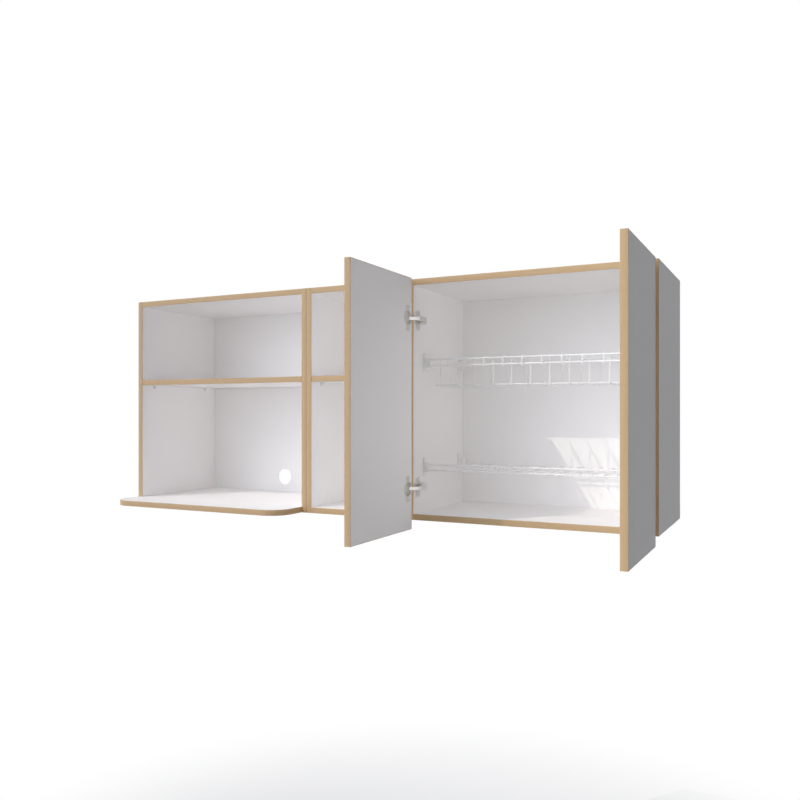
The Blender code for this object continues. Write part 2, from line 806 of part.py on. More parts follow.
def bracket(name, unit, which, side, y_rail, toward, level, low, levels):
    """A moulded bracket on the cabinet side, with sockets for the rails"""
    inward = 1 if which == "left" else -1
    wall = unit.inner_left if which == "left" else unit.inner_right
    seat = wall + inward * seat_gap
    core = seat + inward * bracket_plate_thickness / 2
    middle = (level + low) / 2
    half = bracket_plate_height / 2
    edge = y_rail - toward * (rail_radius + socket_margin / 2)
    plate = bmesh.new()
    xs = sorted((seat, seat + inward * bracket_plate_thickness))
    ys = sorted((edge, edge + toward * bracket_plate_depth))
    add_box(plate, (xs[0], ys[0], middle - half), (xs[1], ys[1], middle + half))
    made = part(name, plate, white_plastic)
    block = bmesh.new()
    high = (level - low) / 2 + rail_radius + socket_margin
    xs = sorted((core, wall + inward * socket_reach))
    ys = sorted((edge + toward * join_overlap, edge + toward * socket_depth))
    add_box(block, (xs[0], ys[0], middle - high), (xs[1], ys[1], middle + high))
    combine(made, block, f"socket_{name}", "UNION")
    for z in levels:
        mouth = wall + inward * (socket_reach + cut_overrun)
        floor = wall + inward * (socket_reach - socket_hold - seat_gap)
        bore(made, (mouth, y_rail, z), (floor, y_rail, z), rail_radius + seat_gap)
    y_peg = edge + toward * (bracket_plate_depth - peg_inset / 2)
    bracket_pegs(made, side, wall, inward, core, y_peg, middle)


def bracket_pegs(made, side, wall, inward, core, y, middle):
    """Two pegs that a bracket pushes into the cabinet side"""
    end = wall - inward * peg_length
    pegs = bmesh.new()
    for up in (-1, 1):
        z = middle + up * (bracket_plate_height / 2 - peg_inset)
        add_rod(pegs, (core, y, z), (end, y, z), peg_radius, dowel_sides)
        mouth = (wall + inward * cut_overrun, y, z)
        bore(side, mouth, (end - inward * seat_gap, y, z), peg_radius + seat_gap)
    combine(made, pegs, f"pegs_{made.name}", "UNION")


# The three cabinets
microwave = Unit("microwave", row_left, microwave_width, True, False)
narrow = Unit("open", row_left + microwave_width, open_width, False, False)
dish = Unit("dish", row_left + microwave_width + open_width, dish_width, False, True)
top_level = top - board

microwave_left = microwave.side("left", bottom + board + seat_gap)
microwave_right = microwave.side("right", bottom)
microwave_top = microwave.level("top", top_level)
microwave_base = tray_base(microwave)
microwave.level("shelf", bottom + shelf_height, shelf_end_clearance, board_back - shelf_back_clearance)
microwave_back = microwave.back_panel()
hole_centre = bottom + cable_hole_height
cable_hole = bmesh.new()
add_rod(
    cable_hole,
    (microwave.middle, -back_thickness - cut_overrun, hole_centre),
    (microwave.middle, cut_overrun, hole_centre),
    cable_hole_radius,
    hole_sides,
)
combine(microwave_back, cable_hole, "cable_hole", "DIFFERENCE")
seam_level = top - board / 2
dowel_joint(microwave_left, microwave_top, (microwave.inner_left, seam_level), AXIS_X)
dowel_joint(microwave_right, microwave_top, (microwave.inner_right, seam_level), -AXIS_X)
dowel_joint(microwave_right, microwave_base, (microwave.inner_right, bottom + board / 2), -AXIS_X)
dowel_joint(microwave_base, microwave_left, (microwave.left + board / 2, bottom + board), AXIS_Z)
shelf_pins(microwave, microwave_left, microwave_right)

narrow_left = narrow.side("left", bottom)
narrow_right = narrow.side("right", bottom)
narrow_top = narrow.level("top", top_level)
narrow_bottom = narrow.level("bottom", bottom)
narrow.level("shelf", bottom + shelf_height, shelf_end_clearance, board_back - shelf_back_clearance)
narrow.back_panel()
shelf_pins(narrow, narrow_left, narrow_right)

dish_left = dish.side("left", bottom)
dish_right = dish.side("right", bottom)
dish_top = dish.level("top", top_level)
dish_bottom = dish.level("bottom", bottom)
dish.back_panel()

frames = (
    (narrow, narrow_left, narrow_right, narrow_top, narrow_bottom),
    (dish, dish_left, dish_right, dish_top, dish_bottom),
)
for unit, left_side, right_side, top_board, bottom_board in frames:
    for level_board, level in ((top_board, seam_level), (bottom_board, bottom + board / 2)):
        dowel_joint(left_side, level_board, (unit.inner_left, level), AXIS_X)
        dowel_joint(right_side, level_board, (unit.inner_right, level), -AXIS_X)

arch_band(microwave)
ring_band(narrow)
ring_band(dish)

# Doors and hinges
flat_screw = turned_screw(
    flat_screw_head_radius, flat_screw_head, flat_screw_radius, flat_screw_length
)
plate_screw = turned_screw(
    plate_screw_head_radius, plate_screw_head, plate_screw_radius, plate_screw_length
)
hinge_levels = (
    ("upper", top - hinge_end_distance),
    ("lower", bottom - door_drop + hinge_end_distance),
)
doors = (("left", dish.left, 1, dish_left), ("right", dish.right, -1, dish_right))
for hand, unit_side, sign, side in doors:
    pivot = door_pivot(f"{hand}_door_pivot", unit_side, sign)
    panel = door(f"{hand}_door", unit_side, sign, pivot)
    link_pivot = bpy.data.objects.new(f"{hand}_link_pivot", None)
    link_pivot.location = (unit_side + sign * nose_across, front - nose_ahead, 0)
    parts.objects.link(link_pivot)
    for place, z in hinge_levels:
        prefix = f"{hand}_{place}_hinge"
        hinge_cup(f"{prefix}_cup", unit_side, sign, pivot, panel, z)
        hinge_link(f"{prefix}_link", unit_side, sign, link_pivot, z)
        hinge_arm(f"{prefix}_arm", unit_side, sign, z)
        hinge_plate(f"{prefix}_plate", unit_side, sign, side, z)

# Racks and their brackets
upper_level = bottom + upper_rail_height
upper_low = upper_level - rail_drop
lower_level = bottom + lower_rail_height
lower_low = lower_level - lower_rail_drop
upper_rack(dish, upper_level, upper_low)
lower_rack(dish, lower_level, lower_low)
for rack, level, low, back_level in (
    ("upper", upper_level, upper_low, upper_level),
    ("lower", lower_level, lower_low, lower_low),
):
    sockets = (("front", rail_front, 1, (level, low)), ("back", rail_back, -1, (back_level,)))
    for end, y_rail, toward, levels in sockets:
        for which, side in (("left", dish_left), ("right", dish_right)):
            name = f"{rack}_rack_bracket_{end}_{which}"
            bracket(name, dish, which, side, y_rail, toward, level, low, levels)

dowel_all()
drill_all()
for pattern in (flat_screw, plate_screw):
    bpy.data.meshes.remove(pattern)
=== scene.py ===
"""Finishes of a wall-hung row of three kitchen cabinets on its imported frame: an open unit with a tray
base, a narrow open unit, and a two-door unit with two wire racks. All lengths are in metres."""

import math

import bmesh
import bpy
from mathutils import Matrix, Vector


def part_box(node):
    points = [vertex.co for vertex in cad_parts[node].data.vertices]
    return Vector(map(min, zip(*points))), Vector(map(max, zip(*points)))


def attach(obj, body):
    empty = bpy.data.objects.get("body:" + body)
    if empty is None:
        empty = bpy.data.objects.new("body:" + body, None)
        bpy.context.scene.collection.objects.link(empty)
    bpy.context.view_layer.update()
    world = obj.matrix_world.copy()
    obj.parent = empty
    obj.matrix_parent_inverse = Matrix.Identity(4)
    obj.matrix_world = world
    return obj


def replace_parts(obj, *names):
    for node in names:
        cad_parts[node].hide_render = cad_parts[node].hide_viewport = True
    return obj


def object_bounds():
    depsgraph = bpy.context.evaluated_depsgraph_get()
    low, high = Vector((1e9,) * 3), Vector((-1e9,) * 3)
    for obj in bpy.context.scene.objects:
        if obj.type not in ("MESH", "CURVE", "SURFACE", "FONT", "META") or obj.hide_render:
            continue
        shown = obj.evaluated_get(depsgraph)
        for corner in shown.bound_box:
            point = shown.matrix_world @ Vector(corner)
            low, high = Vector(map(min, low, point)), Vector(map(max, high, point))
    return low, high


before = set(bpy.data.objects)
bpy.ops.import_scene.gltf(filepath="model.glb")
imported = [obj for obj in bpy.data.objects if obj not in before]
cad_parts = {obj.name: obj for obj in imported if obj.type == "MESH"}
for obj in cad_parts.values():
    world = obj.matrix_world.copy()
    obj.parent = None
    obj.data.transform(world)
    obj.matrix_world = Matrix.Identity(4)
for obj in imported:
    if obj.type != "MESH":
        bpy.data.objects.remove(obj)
cad_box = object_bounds()

# The view
# The row is seen from its right and from a little below its middle, by a camera that is held level,
# so that every upright edge stays upright.
image_side = 800
horizon_row = 412.99
camera_place = (1.0245, -2.0959, -0.0333)
camera_turn = math.radians(26.9)
level_gaze = math.radians(90)
sensor_width = 36
lens_length = 35.71
camera_data = bpy.data.cameras.new("camera")
camera_data.sensor_width = sensor_width
camera_data.lens = lens_length
camera_data.shift_y = (horizon_row - image_side / 2) / image_side
camera = bpy.data.objects.new("camera", camera_data)
camera.location = camera_place
camera.rotation_euler = (level_gaze, 0, camera_turn)
bpy.context.scene.collection.objects.link(camera)
bpy.context.scene.camera = camera
bpy.context.scene.view_settings.view_transform = "Standard"

# The room
# A white room, bright before the row and to its left and dimmer at its right. One narrow lamp, high
# at the front left, throws the left door's crisp shadow into the dish unit. Of two soft panels, one
# lights the space between the doors and one the row's rear. White walls make many bounces count.
light_bounces = 12
dim_side = 0.15
bright_side = 2.6
bright_way = (-0.68, -0.68, 0.28)
dim_from = 0.45
bright_from = 1.0
lamp_way = Vector((0.73, 1.0, -1.17))
lamp_strength = 0.90
lamp_spread = math.radians(0.15)
panels = {
    "panel_between_the_doors": {
        "place": (0.70, -1.0, 0.0),
        "target": (0.165, -0.40, 0.0),
        "width": 0.30,
        "height": 1.60,
        "power": 0.9,
    },
    "panel_behind_the_row": {
        "place": (0.0, 2.2, 0.2),
        "target": (0.0, 0.0, 0.0),
        "width": 1.40,
        "height": 1.20,
        "power": 30.0,
    },
}


def srgb(code):
    """Turns a hex colour into Blender's linear one"""
    shares = [int(code[i : i + 2], 16) / 255 for i in (1, 3, 5)]
    return (*[s / 12.92 if s <= 0.04045 else ((s + 0.055) / 1.055) ** 2.4 for s in shares], 1.0)


def feed(made, inputs):
    """Sets a node's inputs, which are numbers, or other nodes' outputs to link"""
    for socket, value in inputs.items():
        if isinstance(value, bpy.types.NodeSocket):
            made.id_data.links.new(value, made.inputs[socket])
        else:
            made.inputs[socket].default_value = value


def node(tree, kind, inputs=None, **settings):
    """Adds a node with its settings and inputs"""
    made = tree.nodes.new(kind)
    for name, value in settings.items():
        setattr(made, name, value)
    feed(made, inputs or {})
    return made


def seen_plainly(tree):
    """One for the rays of the eye, of reflections and of clear glass, which see the white room"""
    path = node(tree, "ShaderNodeLightPath")
    first = node(
        tree,
        "ShaderNodeMath",
        {0: path.outputs["Is Camera Ray"], 1: path.outputs["Is Glossy Ray"]},
        operation="MAXIMUM",
    )
    return node(
        tree,
        "ShaderNodeMath",
        {0: first.outputs[0], 1: path.outputs["Is Transmission Ray"]},
        operation="MAXIMUM",
    ).outputs[0]


world = bpy.data.worlds.new("white_room")
world.use_nodes = True
room = world.node_tree
room.nodes.clear()
way = node(room, "ShaderNodeTexCoord").outputs["Generated"]
facing = node(room, "ShaderNodeVectorMath", {0: way, 1: bright_way}, operation="DOT_PRODUCT")
level = node(
    room,
    "ShaderNodeMapRange",
    {
        "Value": facing.outputs["Value"],
        "From Min": dim_from,
        "From Max": bright_from,
        "To Min": dim_side,
        "To Max": bright_side,
    },
    interpolation_type="SMOOTHSTEP",
)
soft = node(room, "ShaderNodeBackground", {"Color": srgb("#F0F4FD"), "Strength": level.outputs[0]})
white = node(room, "ShaderNodeBackground", {"Color": srgb("#FFFFFF"), "Strength": 1.0})
both = node(room, "ShaderNodeMixShader", {0: seen_plainly(room), 1: soft.outputs[0], 2: white.outputs[0]})
node(room, "ShaderNodeOutputWorld", {"Surface": both.outputs[0]})
bpy.context.scene.world = world
bpy.context.scene.cycles.diffuse_bounces = light_bounces

lamp_data = bpy.data.lights.new("lamp", "SUN")
lamp_data.energy = lamp_strength
lamp_data.angle = lamp_spread
lamp_data.color = srgb("#FFF8EE")[:3]
lamp = bpy.data.objects.new("lamp", lamp_data)
lamp.rotation_euler = lamp_way.to_track_quat("-Z", "Y").to_euler()
bpy.context.scene.collection.objects.link(lamp)

for name, sizes in panels.items():
    panel_data = bpy.data.lights.new(name, "AREA")
    panel_data.shape = "RECTANGLE"
    panel_data.size = sizes["width"]
    panel_data.size_y = sizes["height"]
    panel_data.energy = sizes["power"]
    panel = bpy.data.objects.new(name, panel_data)
    panel.location = sizes["place"]
    gaze = Vector(sizes["target"]) - Vector(sizes["place"])
    panel.rotation_euler = gaze.to_track_quat("-Z", "Y").to_euler()
    panel.visible_camera = False
    panel.visible_glossy = False
    bpy.context.scene.collection.objects.link(panel)

# The floor
# A plain pale floor, 1.45 m under the cabinets as in a kitchen. It keeps the row's shadow, passes on
# less light than the eye sees on it, and fades into the white room away from the row.
hanging_height = 1.45
floor_half = 9.0
fade_start = 0.9
fade_end = 2.2
without_height = (1, 1, 0)
floor_mesh = bpy.data.meshes.new("floor")
grid = bmesh.new()
bmesh.ops.create_grid(grid, x_segments=1, y_segments=1, size=floor_half)
bmesh.ops.translate(grid, verts=grid.verts, vec=(0, 0, cad_box[0].z - hanging_height))
grid.to_mesh(floor_mesh)
grid.free()
floor = bpy.data.objects.new("floor", floor_mesh)
bpy.context.scene.collection.objects.link(floor)

painted = bpy.data.materials.new("pale_painted_floor")
painted.use_nodes = True
tree = painted.node_tree
tree.nodes.clear()
paint = node(
    tree,
    "ShaderNodeMix",
    {"Factor": seen_plainly(tree), "A": srgb("#A4A4A4"), "B": srgb("#ECECEC")},
    data_type="RGBA",
)
matt = node(tree, "ShaderNodeBsdfDiffuse", {"Color": paint.outputs["Result"]})
plain = node(tree, "ShaderNodeEmission", {"Color": srgb("#FFFFFF"), "Strength": 1.0})
place = node(tree, "ShaderNodeTexCoord").outputs["Object"]
flat = node(tree, "ShaderNodeVectorMath", {0: place, 1: without_height}, operation="MULTIPLY")
away = node(tree, "ShaderNodeVectorMath", {0: flat.outputs[0]}, operation="LENGTH")
fade = node(
    tree,
    "ShaderNodeMapRange",
    {"Value": away.outputs["Value"], "From Min": fade_start, "From Max": fade_end},
    interpolation_type="SMOOTHSTEP",
)
share = node(tree, "ShaderNodeMath", {0: fade.outputs[0], 1: seen_plainly(tree)}, operation="MULTIPLY")
surface = node(tree, "ShaderNodeMixShader", {0: share.outputs[0], 1: matt.outputs[0], 2: plain.outputs[0]})
node(tree, "ShaderNodeOutputMaterial", {"Surface": surface.outputs[0]})
floor_mesh.materials.append(painted)

# The cabinets' boards
# Sides, tops, bottoms, shelves and doors are particle board, 15 mm thick, faced with white melamine
# paper. The press plate leaves a fine pearl grain, and the sides' cut ends show the wood chips.
millimetre = 0.001
cloud_width = 260 * millimetre
pearl_width = 2 * millimetre
pearl_depth = 0.04 * millimetre
melamine_gloss = 0.2
chip_width = 3 * millimetre
facing_share = 0.7


def new_material(name):
    """An empty material, and the shader that ends it"""
    made = bpy.data.materials.new(name)
    made.use_nodes = True
    made.node_tree.nodes.clear()
    shader = node(made.node_tree, "ShaderNodeBsdfPrincipled")
    node(made.node_tree, "ShaderNodeOutputMaterial", {"Surface": shader.outputs[0]})
    return made, shader


def wear(name, material):
    """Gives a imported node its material, and the material slot that it stands for"""
    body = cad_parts[name]
    body.data.materials.clear()
    body.data.materials.append(material)


def chip_ends(tree, place, tone):
    """Bare wood chips, 3 mm across, on the faces that look up or down, and the tone on the others"""
    chips = node(
        tree,
        "ShaderNodeTexVoronoi",
        {"Vector": place, "Scale": 1 / chip_width, "Randomness": 1.0},
    )
    chip_tone = node(
        tree,
        "ShaderNodeMix",
        {"Factor": chips.outputs["Color"], "A": srgb("#B08A5C"), "B": srgb("#D6B688")},
        data_type="RGBA",
    )
    faces = node(tree, "ShaderNodeNewGeometry")
    upward = node(tree, "ShaderNodeSeparateXYZ", {0: faces.outputs["True Normal"]})
    size = node(tree, "ShaderNodeMath", {0: upward.outputs["Z"]}, operation="ABSOLUTE")
    ends = node(tree, "ShaderNodeMath", {0: size.outputs[0], 1: facing_share}, operation="GREATER_THAN")
    return node(
        tree,
        "ShaderNodeMix",
        {"Factor": ends.outputs[0], "A": tone, "B": chip_tone.outputs["Result"]},
        data_type="RGBA",
    ).outputs["Result"]


def melamine_board(name, cut_ends):
    """White melamine, matt with a soft sheen; its pearl grain of 0.5 mm is drawn at 2 mm to show"""
    made, shader = new_material(name)
    tree = made.node_tree
    place = node(tree, "ShaderNodeTexCoord").outputs["Object"]
    clouds = node(
        tree,
        "ShaderNodeTexNoise",
        {"Vector": place, "Scale": 1 / cloud_width, "Detail": 2.0},
    )
    tone = node(
        tree,
        "ShaderNodeMix",
        {"Factor": clouds.outputs["Fac"], "A": srgb("#F6F4F3"), "B": srgb("#F9F7F6")},
        data_type="RGBA",
    ).outputs["Result"]
    pearl = node(
        tree,
        "ShaderNodeTexNoise",
        {"Vector": place, "Scale": 1 / pearl_width, "Detail": 3.0},
    )
    sheen = node(
        tree,
        "ShaderNodeMapRange",
        {"Value": pearl.outputs["Fac"], "To Min": 0.46, "To Max": 0.58},
    )
    relief = node(
        tree,
        "ShaderNodeBump",
        {"Height": pearl.outputs["Fac"], "Distance": pearl_depth, "Strength": 0.5},
    )
    feed(
        shader,
        {
            "Base Color": chip_ends(tree, place, tone) if cut_ends else tone,
            "Roughness": sheen.outputs[0],
            "Normal": relief.outputs[0],
            "Specular IOR Level": melamine_gloss,
        },
    )
    return made


faced_board = melamine_board("white_melamine_faced_board", False)
side_board = melamine_board("white_melamine_board_with_chip_ends", True)
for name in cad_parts:
    if name.endswith("_side"):
        wear(name, side_board)
    elif name.endswith(("_top", "_base", "_bottom", "_shelf", "_door")):
        wear(name, faced_board)

# The backs
# Each cabinet's back is hardboard, 3 mm thick: lacquered white inside, and bare and brown on the
# side to the wall. It is nailed to the boards' rear edges with small steel nails.
unit_names = ("microwave", "open", "dish")
wave_width = 180 * millimetre
fibre_length = 1.5 * millimetre
fibre_depth = 0.05 * millimetre
nail_head_radius = 1.4 * millimetre
nail_head_height = 0.4 * millimetre
nail_head_sides = 16
nail_spacing = 95 * millimetre
nail_inset = 7.5 * millimetre
nail_proud = 0.1 * millimetre
nail_turn = (math.radians(90), 0, 0)
scratch_width = 0.6 * millimetre
fold_angle = math.radians(35)


def lacquered_hardboard():
    """White lacquer in slow waves; behind it, pressed brown fibre of 1 mm, drawn at 1.5 mm to show"""
    made, shader = new_material("lacquered_hardboard")
    tree = made.node_tree
    place = node(tree, "ShaderNodeTexCoord").outputs["Object"]
    waves = node(
        tree,
        "ShaderNodeTexNoise",
        {"Vector": place, "Scale": 1 / wave_width, "Detail": 2.0},
    )
    lacquer = node(
        tree,
        "ShaderNodeMix",
        {"Factor": waves.outputs["Fac"], "A": srgb("#F5F4F3"), "B": srgb("#F8F7F6")},
        data_type="RGBA",
    )
    fibres = node(
        tree,
        "ShaderNodeTexNoise",
        {"Vector": place, "Scale": 1 / fibre_length, "Detail": 4.0},
    )
    bare = node(
        tree,
        "ShaderNodeMix",
        {"Factor": fibres.outputs["Fac"], "A": srgb("#7E5F41"), "B": srgb("#A98760")},
        data_type="RGBA",
    )
    faces = node(tree, "ShaderNodeNewGeometry")
    inward = node(tree, "ShaderNodeSeparateXYZ", {0: faces.outputs["True Normal"]})
    rear = node(
        tree,
        "ShaderNodeMath",
        {0: inward.outputs["Y"], 1: facing_share},
        operation="GREATER_THAN",
    )
    tone = node(
        tree,
        "ShaderNodeMix",
        {"Factor": rear.outputs[0], "A": lacquer.outputs["Result"], "B": bare.outputs["Result"]},
        data_type="RGBA",
    )
    rough = node(tree, "ShaderNodeMapRange", {"Value": rear.outputs[0], "To Min": 0.42, "To Max": 0.80})
    relief = node(
        tree,
        "ShaderNodeBump",
        {"Height": fibres.outputs["Fac"], "Distance": fibre_depth, "Strength": 0.4},
    )
    feed(
        shader,
        {
            "Base Color": tone.outputs["Result"],
            "Roughness": rough.outputs[0],
            "Normal": relief.outputs[0],
        },
    )
    return made


def bright_steel():
    """Drawn steel nails, bright and a little scratched at the head"""
    made, shader = new_material("bright_drawn_steel")
    tree = made.node_tree
    place = node(tree, "ShaderNodeTexCoord").outputs["Object"]
    scratches = node(
        tree,
        "ShaderNodeTexNoise",
        {"Vector": place, "Scale": 1 / scratch_width, "Detail": 3.0},
    )
    rough = node(
        tree,
        "ShaderNodeMapRange",
        {"Value": scratches.outputs["Fac"], "To Min": 0.28, "To Max": 0.48},
    )
    feed(shader, {"Base Color": srgb("#C2C1BE"), "Metallic": 1.0, "Roughness": rough.outputs[0]})
    return made


def shape_tree(name, sizes):
    """A node tree that makes a shape from a host mesh, with its named inputs"""
    tree = bpy.data.node_groups.new(name, "GeometryNodeTree")
    tree.interface.new_socket("Host", in_out="INPUT", socket_type="NodeSocketGeometry")
    for label, kind in sizes.items():
        tree.interface.new_socket(label, in_out="INPUT", socket_type=f"NodeSocket{kind}")
    tree.interface.new_socket("Material", in_out="INPUT", socket_type="NodeSocketMaterial")
    tree.interface.new_socket("Shape", in_out="OUTPUT", socket_type="NodeSocketGeometry")
    return tree, node(tree, "NodeGroupInput").outputs


def close_tree(tree, given, shape):
    """Ends a tree in a real mesh with its material"""
    real = node(tree, "GeometryNodeRealizeInstances", {0: shape})
    coloured = node(
        tree,
        "GeometryNodeSetMaterial",
        {"Geometry": real.outputs[0], "Material": given["Material"]},
    )
    node(tree, "NodeGroupOutput", {0: coloured.outputs[0]})


def wire_mesh(name, paths):
    """A host mesh whose edges follow each path; a path of one point is a loose point"""
    points = [point for path in paths for point in path]
    edges = []
    first = 0
    for path in paths:
        edges += [(first + i, first + i + 1) for i in range(len(path) - 1)]
        first += len(path)
    mesh = bpy.data.meshes.new(name)
    mesh.from_pydata(points, edges, [])
    return mesh


def grow(name, tree, host, values, sharp_angle=fold_angle):
    """Runs a tree on a host mesh and keeps what it makes as one plain mesh"""
    piece = bpy.data.objects.new(name, host)
    bpy.context.scene.collection.objects.link(piece)
    modifier = piece.modifiers.new("shape", "NODES")
    modifier.node_group = tree
    for socket in tree.interface.items_tree:
        if socket.in_out == "INPUT" and socket.name in values:
            modifier[socket.identifier] = values[socket.name]
    graph = bpy.context.evaluated_depsgraph_get()
    mesh = bpy.data.meshes.new_from_object(piece.evaluated_get(graph))
    mesh.name = name
    piece.modifiers.clear()
    piece.data = mesh
    bpy.data.meshes.remove(host)
    mesh.shade_smooth()
    mesh.set_sharp_from_angle(angle=sharp_angle)
    return piece


nail_row, given = shape_tree(
    "nail_row",
    {"Spacing": "Float", "Head radius": "Float", "Head height": "Float"},
)
line = node(nail_row, "GeometryNodeMeshToCurve", {"Mesh": given["Host"]})
marks = node(
    nail_row,
    "GeometryNodeResampleCurve",
    {"Curve": line.outputs[0], "Length": given["Spacing"]},
    mode="LENGTH",
)
head = node(
    nail_row,
    "GeometryNodeMeshCone",
    {
        "Vertices": nail_head_sides,
        "Radius Top": given["Head radius"],
        "Radius Bottom": given["Head radius"],
        "Depth": given["Head height"],
    },
)
nails = node(
    nail_row,
    "GeometryNodeInstanceOnPoints",
    {"Points": marks.outputs[0], "Instance": head.outputs["Mesh"], "Rotation": nail_turn},
)
close_tree(nail_row, given, nails.outputs[0])

hardboard = lacquered_hardboard()
nail_steel = bright_steel()
for unit in unit_names:
    wear(f"{unit}_back", hardboard)
    low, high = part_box(f"{unit}_back")
    y = high.y + nail_proud - nail_head_height
    corners = [
        (low.x + nail_inset, y, low.z + nail_inset),
        (high.x - nail_inset, y, low.z + nail_inset),
        (high.x - nail_inset, y, high.z - nail_inset),
        (low.x + nail_inset, y, high.z - nail_inset),
    ]
    nails = grow(
        f"{unit}_back_nails",
        nail_row,
        wire_mesh(f"{unit}_back_nails", [[*corners, corners[0]]]),
        {
            "Spacing": nail_spacing,
            "Head radius": nail_head_radius,
            "Head height": nail_head_height,
            "Material": nail_steel,
        },
    )
    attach(nails, "cabinets")

# The edge strips
# Every edge that shows has a plastic strip with a printed oak grain, 1 mm thick and as wide as the
# board, glued on and rounded along both sides. Upright strips run through and level ones butt them.
strip_thickness = 1.0 * millimetre
strip_arris = 0.5 * millimetre
arris_steps = 3
butt_gap = 0.1 * millimetre
strip_sink = 0.25 * millimetre
strip_fold_angle = math.radians(40)
tray_corner = 55 * millimetre
corner_steps = 16
quarter_turn = math.pi / 2
grain_band = (140 * millimetre, 5 * millimetre)
grain_pore = (12 * millimetre, 1 * millimetre)
pore_depth = 0.05 * millimetre


def oak_strip():
    """Printed oak: pores 12 mm long and 0.3 mm wide, drawn 1 mm wide to show, over slow paler bands"""
    made, shader = new_material("oak_printed_edge_strip")
    tree = made.node_tree
    along = node(tree, "ShaderNodeUVMap", uv_map="along_strip")
    bands = node(
        tree,
        "ShaderNodeMapping",
        {"Vector": along.outputs[0], "Scale": (1 / grain_band[0], 1 / grain_band[1], 1)},
    )
    band = node(tree, "ShaderNodeTexNoise", {"Vector": bands.outputs[0], "Scale": 1.0, "Detail": 3.0})
    pores = node(
        tree,
        "ShaderNodeMapping",
        {"Vector": along.outputs[0], "Scale": (1 / grain_pore[0], 1 / grain_pore[1], 1)},
    )
    pore = node(tree, "ShaderNodeTexNoise", {"Vector": pores.outputs[0], "Scale": 1.0, "Detail": 2.0})
    tone = node(
        tree,
        "ShaderNodeMix",
        {"Factor": band.outputs["Fac"], "A": srgb("#B89A71"), "B": srgb("#C4A67F")},
        data_type="RGBA",
    )
    dark = node(
        tree,
        "ShaderNodeMapRange",
        {"Value": pore.outputs["Fac"], "From Min": 0.55, "From Max": 0.75, "To Max": 0.45},
    )
    grain = node(
        tree,
        "ShaderNodeMix",
        {"Factor": dark.outputs[0], "A": tone.outputs["Result"], "B": srgb("#A08258")},
        data_type="RGBA",
    )
    rough = node(tree, "ShaderNodeMapRange", {"Value": pore.outputs["Fac"], "To Min": 0.42, "To Max": 0.56})
    relief = node(
        tree,
        "ShaderNodeBump",
        {"Height": pore.outputs["Fac"], "Distance": pore_depth, "Strength": 0.5},
    )
    feed(
        shader,
        {
            "Base Color": grain.outputs["Result"],
            "Roughness": rough.outputs[0],
            "Normal": relief.outputs[0],
        },
    )
    return made


def edge_strip(name, path, across, width, body, material):
    """A strip whose outer face follows a path. Its width lies along across, and it faces path x across"""
    path = [Vector(point) for point in path]
    across = Vector(across)
    half = width / 2
    turns = [quarter_turn * i / arris_steps for i in range(arris_steps + 1)]
    right = [(half - strip_arris * (1 - math.sin(t)), -strip_arris * (1 - math.cos(t))) for t in turns]
    left = [(-a, n) for a, n in reversed(right)]
    inner = -strip_thickness - strip_sink
    profile = [(-half, inner), *left, *right, (half, inner)]
    reach = [0.0]
    for a, b in zip(profile, profile[1:]):
        reach.append(reach[-1] + math.dist(a, b))
    reach.append(reach[-1] + width)
    bm = bmesh.new()
    layer = bm.loops.layers.uv.new("along_strip")
    rings = []
    marks = []
    travelled = 0.0
    for i, point in enumerate(path):
        before = path[max(i - 1, 0)]
        after = path[min(i + 1, len(path) - 1)]
        travelled += (point - before).length
        outward = (after - before).normalized().cross(across)
        rings.append([bm.verts.new(point + across * a + outward * n) for a, n in profile])
        marks.append(travelled)
    count = len(profile)
    for i in range(len(rings) - 1):
        for j in range(count):
            k = (j + 1) % count
            face = bm.faces.new((rings[i][j], rings[i][k], rings[i + 1][k], rings[i + 1][j]))
            spots = ((i, j), (i, j + 1), (i + 1, j + 1), (i + 1, j))
            for loop, (row, column) in zip(face.loops, spots):
                loop[layer].uv = (marks[row], reach[column])
    for ring in (rings[0], rings[-1]):
        cap = bm.faces.new(ring)
        for loop, (a, n) in zip(cap.loops, profile):
            loop[layer].uv = (a, n)
    bmesh.ops.recalc_face_normals(bm, faces=bm.faces)
    mesh = bpy.data.meshes.new(name)
    bm.to_mesh(mesh)
    bm.free()
    mesh.shade_smooth()
    mesh.set_sharp_from_angle(angle=strip_fold_angle)
    mesh.materials.append(material)
    strip = bpy.data.objects.new(name, mesh)
    bpy.context.scene.collection.objects.link(strip)
    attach(strip, body)
    return strip


def rounded_path(points, radius, steps):
    """The path through the points with its square corners rounded"""
    path = [points[0]]
    for before, corner, after in zip(points, points[1:], points[2:]):
        into = (corner - before).normalized()
        out = (after - corner).normalized()
        centre = corner - into * radius + out * radius
        for step in range(steps + 1):
            angle = quarter_turn * step / steps
            path.append(centre - out * radius * math.cos(angle) + into * radius * math.sin(angle))
    return [*path, points[-1]]


oak = oak_strip()
along_x = Vector((1, 0, 0))
along_z = Vector((0, 0, 1))
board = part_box("open_top")[1].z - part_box("open_top")[0].z

